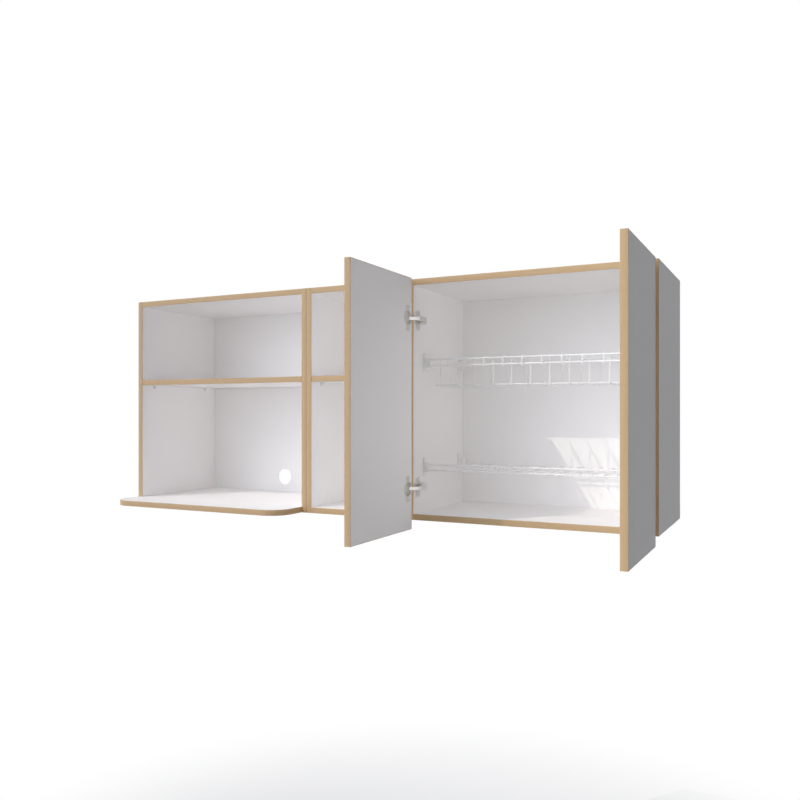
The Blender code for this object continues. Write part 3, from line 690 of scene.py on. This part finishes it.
for unit in unit_names:
    low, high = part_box(f"{unit}_edge_band")
    left_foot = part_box(f"{unit}_left_side")[0].z
    y = low.y
    for hand, x, foot in (("left", low.x + board / 2, left_foot), ("right", high.x - board / 2, low.z)):
        path = [(x, y, high.z), (x, y, foot)]
        strip = edge_strip(f"{unit}_{hand}_strip", path, along_x, board, "cabinets", oak)
        if hand == "left":
            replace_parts(strip, f"{unit}_edge_band")
    start = low.x + board + butt_gap
    end = high.x - board - butt_gap
    levels = {"top": high.z - board / 2}
    if f"{unit}_bottom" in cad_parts:
        levels["bottom"] = low.z + board / 2
    for which, z in levels.items():
        edge_strip(f"{unit}_{which}_strip", [(start, y, z), (end, y, z)], along_z, board, "cabinets", oak)
    if f"{unit}_shelf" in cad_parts:
        shelf_low, shelf_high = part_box(f"{unit}_shelf")
        z = (shelf_low.z + shelf_high.z) / 2
        ends = [(shelf_low.x, y, z), (shelf_high.x, y, z)]
        edge_strip(f"{unit}_shelf_strip", ends, along_z, board, "cabinets", oak)

low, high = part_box("tray_edge_band")
z = (low.z + high.z) / 2
turning = [
    Vector((low.x, high.y, z)),
    Vector((low.x, low.y, z)),
    Vector((high.x, low.y, z)),
    Vector((high.x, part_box("microwave_edge_band")[0].y - butt_gap, z)),
]
rounded = rounded_path(turning, tray_corner, corner_steps)
strip = edge_strip("tray_strip", rounded, along_z, board, "cabinets", oak)
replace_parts(strip, "tray_edge_band")

for hand in ("left", "right"):
    low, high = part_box(f"{hand}_door_edge_band")
    body = f"{hand}_door"
    x = (low.x + high.x) / 2
    width = high.x - low.x
    free_edge = [(x, low.y, high.z), (x, low.y, low.z)]
    hinge_edge = [(x, high.y, low.z), (x, high.y, high.z)]
    near = low.y + strip_thickness + butt_gap
    far = high.y - strip_thickness - butt_gap
    top_edge = [(x, far, high.z), (x, near, high.z)]
    low_edge = [(x, near, low.z), (x, far, low.z)]
    strip = edge_strip(f"{hand}_door_free_strip", free_edge, along_x, width, body, oak)
    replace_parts(strip, f"{hand}_door_edge_band")
    edge_strip(f"{hand}_door_hinge_strip", hinge_edge, along_x, width, body, oak)
    edge_strip(f"{hand}_door_top_strip", top_edge, along_x, width, body, oak)
    edge_strip(f"{hand}_door_low_strip", low_edge, along_x, width, body, oak)

# The shelf pins
# Each shelf lies on four moulded pins, whose stems push into holes in the sides. A pin has a round
# collar against the board and a flat tab with rounded corners under the shelf.
pin_collar_radius = 4.2 * millimetre
pin_collar = 1.0 * millimetre
pin_rounding = 1.2 * millimetre
block_edge_steps = 3
collar_sides = 24
rim_steps = 2
rim_share = 0.25
even_profile = 0.5
spark_grain = 0.6 * millimetre
spark_depth = 0.02 * millimetre
flow_width = 12 * millimetre


def moulded_plastic(name, code):
    """White plastic from a spark-eroded mould, whose grain of 0.15 mm is drawn at 0.6 mm to show"""
    made, shader = new_material(name)
    tree = made.node_tree
    place = node(tree, "ShaderNodeTexCoord").outputs["Object"]
    eroded = node(
        tree,
        "ShaderNodeTexNoise",
        {"Vector": place, "Scale": 1 / spark_grain, "Detail": 2.0},
    )
    relief = node(
        tree,
        "ShaderNodeBump",
        {"Height": eroded.outputs["Fac"], "Distance": spark_depth, "Strength": 0.5},
    )
    flow = node(
        tree,
        "ShaderNodeTexNoise",
        {"Vector": place, "Scale": 1 / flow_width, "Detail": 1.0},
    )
    tone = node(
        tree,
        "ShaderNodeMix",
        {"Factor": flow.outputs["Fac"], "A": srgb(code), "B": srgb("#F0F0EE")},
        data_type="RGBA",
    )
    rough = node(
        tree,
        "ShaderNodeMapRange",
        {"Value": eroded.outputs["Fac"], "To Min": 0.34, "To Max": 0.48},
    )
    feed(
        shader,
        {
            "Base Color": tone.outputs["Result"],
            "Roughness": rough.outputs[0],
            "Normal": relief.outputs[0],
        },
    )
    return made


def join_shape(bm, shape):
    """Adds a finished shape to a piece that is being made"""
    mesh = bpy.data.meshes.new("shape")
    shape.to_mesh(mesh)
    shape.free()
    bm.from_mesh(mesh)
    bpy.data.meshes.remove(mesh)


def add_block(bm, low, high, rounding):
    """A block between two corners with its edges rounded"""
    size = Vector(high) - Vector(low)
    matrix = Matrix.Translation((Vector(low) + Vector(high)) / 2) @ Matrix.Diagonal((*size, 1))
    block = bmesh.new()
    bmesh.ops.create_cube(block, size=1, matrix=matrix)
    bmesh.ops.bevel(
        block,
        geom=block.edges,
        offset=rounding,
        segments=block_edge_steps,
        profile=even_profile,
        affect="EDGES",
    )
    join_shape(bm, block)


def add_collar(bm, start, end, radius, rounding):
    """A round collar between two points, with its rims rounded"""
    start = Vector(start)
    along = Vector(end) - start
    turn = along_z.rotation_difference(along).to_matrix().to_4x4()
    collar = bmesh.new()
    bmesh.ops.create_cone(
        collar,
        cap_ends=True,
        segments=collar_sides,
        radius1=radius,
        radius2=radius,
        depth=along.length,
        matrix=Matrix.Translation(start + along / 2) @ turn,
    )
    rims = [edge for edge in collar.edges if len({len(face.verts) for face in edge.link_faces}) > 1]
    bmesh.ops.bevel(
        collar,
        geom=rims,
        offset=rounding,
        segments=rim_steps,
        profile=even_profile,
        affect="EDGES",
    )
    join_shape(bm, collar)


def settle(name, bm, material, body):
    """Turns finished shapes into a piece that rides on its body"""
    mesh = bpy.data.meshes.new(name)
    bm.to_mesh(mesh)
    bm.free()
    mesh.shade_smooth()
    mesh.set_sharp_from_angle(angle=fold_angle)
    mesh.materials.append(material)
    piece = bpy.data.objects.new(name, mesh)
    bpy.context.scene.collection.objects.link(piece)
    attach(piece, body)
    return piece


def inner_face(name, inward):
    """The X of a node's face that looks inward, to the right for 1 and to the left for -1"""
    low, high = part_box(name)
    return high.x if inward > 0 else low.x


pin_plastic = moulded_plastic("white_moulded_abs", "#ECECEA")
for name in sorted(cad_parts):
    if "_shelf_pin_" not in name:
        continue
    low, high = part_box(name)
    unit = name.split("_")[0]
    hand = name.split("_")[-1]
    inward = 1 if hand == "left" else -1
    wall = inner_face(f"{unit}_{hand}_side", inward)
    middle_y = (low.y + high.y) / 2
    middle_z = (low.z + high.z) / 2
    xs = sorted((wall + inward * pin_collar / 2, inner_face(name, inward)))
    pin = bmesh.new()
    add_block(pin, (xs[0], low.y, low.z + pin_rounding), (xs[1], high.y, high.z), pin_rounding)
    add_collar(
        pin,
        (wall, middle_y, middle_z),
        (wall + inward * pin_collar, middle_y, middle_z),
        pin_collar_radius,
        pin_collar * rim_share,
    )
    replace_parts(settle(f"{name}_moulded", pin, pin_plastic, "cabinets"), name)

# The rack brackets
# Eight brackets moulded in white nylon carry the rails' ends. Each is a plate with rounded corners,
# pegged into the cabinet side, and a boxy socket with a collar round each rail.
bracket_rounding = 1.4 * millimetre
plate_thickness = 3.0 * millimetre
collar_radius = 4.2 * millimetre
collar_reach = 0.8 * millimetre
rail_inset = 3.5 * millimetre
upper_drop = 16.1 * millimetre
lower_drop = 14.0 * millimetre
socket_margin = 5.0 * millimetre

bracket_plastic = moulded_plastic("white_moulded_nylon", "#F4F4F2")
for rack, drop in (("upper", upper_drop), ("lower", lower_drop)):
    for end, toward in (("front", 1), ("back", -1)):
        for hand, inward in (("left", 1), ("right", -1)):
            name = f"{rack}_rack_bracket_{end}_{hand}"
            low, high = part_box(name)
            wall = inner_face(f"dish_{hand}_side", inward)
            tip = inner_face(name, inward)
            middle_z = (low.z + high.z) / 2
            edge = low.y if toward > 0 else high.y
            rail_y = edge + toward * rail_inset
            levels = [middle_z + drop / 2, middle_z - drop / 2]
            if end == "back":
                levels = levels[:1] if rack == "upper" else levels[1:]
            bracket = bmesh.new()
            xs = sorted((wall, wall + inward * plate_thickness))
            add_block(bracket, (xs[0], low.y, low.z), (xs[1], high.y, high.z), bracket_rounding)
            xs = sorted((wall + inward * plate_thickness / 2, tip))
            ys = sorted((edge, edge + toward * 2 * rail_inset + toward * socket_margin))
            reach = drop / 2 + socket_margin
            bottom_corner = (xs[0], ys[0], middle_z - reach)
            top_corner = (xs[1], ys[1], middle_z + reach)
            add_block(bracket, bottom_corner, top_corner, bracket_rounding)
            for z in levels:
                add_collar(
                    bracket,
                    (tip - inward * collar_reach, rail_y, z),
                    (tip + inward * collar_reach, rail_y, z),
                    collar_radius - bracket_rounding / 2,
                    collar_reach * rim_share,
                )
            piece = settle(f"{name}_moulded", bracket, bracket_plastic, "cabinets")
            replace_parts(piece, name)

# The racks
# Two racks of bent steel wire, spot-welded and dipped in white plastic, on rails 4 mm thick. The upper
# rack's rods hook over its front rails and dip between two rests for the plates' edges. The lower
# rack's lie straight on its low rails, and a free rail above their front ends keeps the glasses in.
rail_radius = 2.0 * millimetre
rod_radius = 1.6 * millimetre
weld_sink = 0.6 * millimetre
apart = rail_radius + rod_radius - weld_sink
plate_pitch = 48.4 * millimetre
plate_rods = 12
glass_pitch = 28.5 * millimetre
glass_rods = 19
dip_front = 126.0 * millimetre
dip_back = 242.0 * millimetre
dip_drop = 65.8 * millimetre
rest_end_room = 2.0 * millimetre
rod_bend = 5.0 * millimetre
bead_radius = 2.3 * millimetre
bead_steps = 2
wire_sides = 14
bend_points = 7
run_length = 5 * millimetre
run_depth = 0.1 * millimetre


def dipped_wire():
    """Steel wire dipped in white plastic: glossy, thick, and slightly wavy every 5 mm or so"""
    made, shader = new_material("plastic_dipped_steel_wire")
    tree = made.node_tree
    place = node(tree, "ShaderNodeTexCoord").outputs["Object"]
    runs = node(
        tree,
        "ShaderNodeTexNoise",
        {"Vector": place, "Scale": 1 / run_length, "Detail": 2.0},
    )
    tone = node(
        tree,
        "ShaderNodeMix",
        {"Factor": runs.outputs["Fac"], "A": srgb("#EEEEED"), "B": srgb("#F4F3F2")},
        data_type="RGBA",
    )
    rough = node(tree, "ShaderNodeMapRange", {"Value": runs.outputs["Fac"], "To Min": 0.22, "To Max": 0.36})
    relief = node(
        tree,
        "ShaderNodeBump",
        {"Height": runs.outputs["Fac"], "Distance": run_depth, "Strength": 0.4},
    )
    feed(
        shader,
        {
            "Base Color": tone.outputs["Result"],
            "Roughness": rough.outputs[0],
            "Normal": relief.outputs[0],
        },
    )
    return made


wire_row, given = shape_tree(
    "bent_wires",
    {"Wire radius": "Float", "Bend radius": "Float", "Count": "Int", "Pitch": "Float"},
)
line = node(wire_row, "GeometryNodeMeshToCurve", {"Mesh": given["Host"]})
bent = node(
    wire_row,
    "GeometryNodeFilletCurve",
    {"Curve": line.outputs[0], "Radius": given["Bend radius"], "Count": bend_points},
    mode="POLY",
)
section = node(
    wire_row,
    "GeometryNodeCurvePrimitiveCircle",
    {"Resolution": wire_sides, "Radius": given["Wire radius"]},
)
wire = node(
    wire_row,
    "GeometryNodeCurveToMesh",
    {"Curve": bent.outputs[0], "Profile Curve": section.outputs["Curve"], "Fill Caps": True},
)
step = node(wire_row, "ShaderNodeCombineXYZ", {"X": given["Pitch"]})
row = node(
    wire_row,
    "GeometryNodeMeshLine",
    {"Count": given["Count"], "Offset": step.outputs[0]},
    mode="OFFSET",
)
rods = node(
    wire_row,
    "GeometryNodeInstanceOnPoints",
    {"Points": row.outputs[0], "Instance": wire.outputs[0]},
)
close_tree(wire_row, given, rods.outputs[0])

bead_row, given = shape_tree("weld_beads", {"Bead radius": "Float"})
bead = node(
    bead_row,
    "GeometryNodeMeshIcoSphere",
    {"Radius": given["Bead radius"], "Subdivisions": bead_steps},
)
beads = node(
    bead_row,
    "GeometryNodeInstanceOnPoints",
    {"Points": given["Host"], "Instance": bead.outputs["Mesh"]},
)
close_tree(bead_row, given, beads.outputs[0])

coat = dipped_wire()


def bend_wires(name, paths, radius, bend, count=1, pitch=0.0):
    """Wires along the paths, repeated to the right"""
    values = {"Wire radius": radius, "Bend radius": bend, "Count": count, "Pitch": pitch, "Material": coat}
    wires = grow(name, wire_row, wire_mesh(name, paths), values)
    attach(wires, "cabinets")
    return wires


def drop_beads(name, places, radius=bead_radius):
    """Drops of plastic that fill the crossings of welded wires or round their ends"""
    host = wire_mesh(name, [[place] for place in places])
    drops = grow(name, bead_row, host, {"Bead radius": radius, "Material": coat}, math.pi)
    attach(drops, "cabinets")


def row_of(count, pitch, middle):
    """The places of a row of rods about its middle"""
    return [middle + (i - (count - 1) / 2) * pitch for i in range(count)]


fence_low, fence_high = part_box("lower_rack_fence")
rail_ends = (fence_low.x, fence_high.x)
middle_x = sum(rail_ends) / 2
front_rail = (fence_low.y + fence_high.y) / 2
back_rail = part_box("upper_rack_bracket_back_left")[1].y - rail_inset
hook_y = front_rail - apart
rod_end = back_rail + 2 * rail_radius


def rails_at(name, seats):
    """Rails from bracket to bracket at the given depths and levels"""
    return bend_wires(name, [[(x, y, z) for x in rail_ends] for y, z in seats], rail_radius, 0.0)


low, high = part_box("upper_rack_bracket_front_left")
level = (low.z + high.z + upper_drop) / 2
low_level = level - upper_drop
over = level + apart
floor_z = level - dip_drop
front_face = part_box("dish_edge_band")[0].y
dip_start = front_face + dip_front
dip_end = front_face + dip_back
xs = row_of(plate_rods, plate_pitch, middle_x)
dipped = [
    (xs[0], hook_y, low_level - 2 * rail_radius),
    (xs[0], hook_y, over),
    (xs[0], dip_start, over),
    (xs[0], dip_start, floor_z),
    (xs[0], dip_end, floor_z),
    (xs[0], dip_end, over),
    (xs[0], rod_end, over),
]
rest_seats = [(dip_start + rod_bend, floor_z + apart), (dip_end - rod_bend, floor_z + apart)]
rest_ends = (
    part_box("dish_left_side")[1].x + rest_end_room,
    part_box("dish_right_side")[0].x - rest_end_room,
)
piece = rails_at("upper_rack_rails", [(front_rail, level), (front_rail, low_level), (back_rail, level)])
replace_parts(piece, "upper_rack")
bend_wires("upper_rack_rods", [dipped], rod_radius, rod_bend, plate_rods, plate_pitch)
rests = [[(x, y, z) for x in rest_ends] for y, z in rest_seats]
bend_wires("upper_rack_rests", rests, rail_radius, 0.0)
crossings = [(hook_y + apart / 2, low_level)]
crossings += [(y, level + apart / 2) for y in (front_rail, back_rail)]
crossings += [(y, z - apart / 2) for y, z in rest_seats]
drop_beads("upper_rack_welds", [(x, y, z) for x in xs for y, z in crossings])
tips = [(x, y, z) for x in xs for _, y, z in (dipped[0], dipped[-1])]
drop_beads("upper_rack_rod_tips", tips, rod_radius)

level = (fence_low.z + fence_high.z) / 2
low_level = level - lower_drop
xs = row_of(glass_rods, glass_pitch, middle_x)
straight = [(xs[0], front_rail - rail_radius, low_level + apart), (xs[0], rod_end, low_level + apart)]
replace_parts(rails_at("lower_rack_rails", [(front_rail, low_level), (back_rail, low_level)]), "lower_rack")
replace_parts(rails_at("lower_rack_fence_rail", [(front_rail, level)]), "lower_rack_fence")
bend_wires("lower_rack_rods", [straight], rod_radius, 0.0, glass_rods, glass_pitch)
crossings = [(y, low_level + apart / 2) for y in (front_rail, back_rail)]
drop_beads("lower_rack_welds", [(x, y, z) for x in xs for y, z in crossings])
drop_beads("lower_rack_rod_tips", [(x, y, z) for x in xs for _, y, z in straight], rod_radius)

# The hinges
# Two concealed hinges of nickel-plated steel carry each door. A drawn cup sits in the door, an arm
# sits on a screwed plate in the cabinet, and a link turns between them.
cup_screw_spacing = 48.0 * millimetre
hinge_screw_radius = 3.6 * millimetre
hinge_screw_height = 1.3 * millimetre
arm_screw_radius = 2.6 * millimetre
arm_screw_height = 1.0 * millimetre
arm_screw_places = (19 * millimetre, 38 * millimetre)
arm_rise = 15.85 * millimetre
screw_head_sides = 28
recess_width = 0.9 * millimetre
recess_length_share = 1.25
mottle_width = 3 * millimetre

screw_row, given = shape_tree(
    "cross_screws",
    {"Head radius": "Float", "Head height": "Float", "Recess width": "Float", "Turn": "Rotation"},
)
head = node(
    screw_row,
    "GeometryNodeMeshCone",
    {
        "Vertices": screw_head_sides,
        "Radius Top": given["Head radius"],
        "Radius Bottom": given["Head radius"],
        "Depth": given["Head height"],
    },
)
recess_length = node(
    screw_row,
    "ShaderNodeMath",
    {0: given["Head radius"], 1: recess_length_share},
    operation="MULTIPLY",
)
lift = node(screw_row, "ShaderNodeCombineXYZ", {"Z": given["Head height"]})
recessed = node(
    screw_row,
    "GeometryNodeMeshBoolean",
    {"Mesh 1": head.outputs["Mesh"]},
    operation="DIFFERENCE",
)
for long_way, short_way in (("Y", "X"), ("X", "Y")):
    size = node(
        screw_row,
        "ShaderNodeCombineXYZ",
        {long_way: recess_length.outputs[0], short_way: given["Recess width"], "Z": given["Head height"]},
    )
    bar = node(screw_row, "GeometryNodeMeshCube", {"Size": size.outputs[0]})
    raised = node(
        screw_row,
        "GeometryNodeTransform",
        {"Geometry": bar.outputs["Mesh"], "Translation": lift.outputs[0]},
    )
    feed(recessed, {"Mesh 2": raised.outputs[0]})
screws = node(
    screw_row,
    "GeometryNodeInstanceOnPoints",
    {"Points": given["Host"], "Instance": recessed.outputs["Mesh"], "Rotation": given["Turn"]},
)
close_tree(screw_row, given, screws.outputs[0])


def drive_screws(name, seats, inward, radius, height, body, material):
    """Screw heads whose undersides lie on their seats and whose recesses face inward"""
    way = along_x * inward
    heads = grow(
        name,
        screw_row,
        wire_mesh(name, [[Vector(seat) + way * height / 2] for seat in seats]),
        {
            "Head radius": radius,
            "Head height": height,
            "Recess width": recess_width,
            "Turn": along_z.rotation_difference(way).to_euler(),
            "Material": material,
        },
    )
    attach(heads, body)


def nickel_plate():
    """Nickel over pressed steel: bright, a little warm, with a faint brushed mottle about 3 mm across"""
    made, shader = new_material("nickel_plated_steel")
    tree = made.node_tree
    place = node(tree, "ShaderNodeTexCoord").outputs["Object"]
    mottle = node(
        tree,
        "ShaderNodeTexNoise",
        {"Vector": place, "Scale": 1 / mottle_width, "Detail": 4.0},
    )
    tone = node(
        tree,
        "ShaderNodeMix",
        {"Factor": mottle.outputs["Fac"], "A": srgb("#D8D7D4"), "B": srgb("#E5E4E1")},
        data_type="RGBA",
    )
    rough = node(
        tree,
        "ShaderNodeMapRange",
        {"Value": mottle.outputs["Fac"], "To Min": 0.30, "To Max": 0.44},
    )
    feed(
        shader,
        {"Base Color": tone.outputs["Result"], "Metallic": 1.0, "Roughness": rough.outputs[0]},
    )
    return made


nickel = nickel_plate()
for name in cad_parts:
    if "_hinge_" in name:
        wear(name, nickel)

for hand, inward in (("left", 1), ("right", -1)):
    for height in ("upper", "lower"):
        hinge = f"{hand}_{height}_hinge"
        low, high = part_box(f"{hinge}_cup")
        middle_y = (low.y + high.y) / 2
        middle_z = (low.z + high.z) / 2
        seat = inner_face(f"{hinge}_cup", inward) - inward * hinge_screw_height / 2
        drive_screws(
            f"{hinge}_cup_screws",
            [(seat, middle_y, middle_z + up * cup_screw_spacing / 2) for up in (-1, 1)],
            inward,
            hinge_screw_radius,
            hinge_screw_height,
            f"{hand}_door",
            nickel,
        )
        low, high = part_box(f"{hinge}_arm")
        middle_z = (low.z + high.z) / 2
        seat = inner_face(f"dish_{hand}_side", inward) + inward * arm_rise
        drive_screws(
            f"{hinge}_arm_screws",
            [(seat, front_face + y, middle_z) for y in arm_screw_places],
            inward,
            arm_screw_radius,
            arm_screw_height,
            "cabinets",
            nickel,
        )
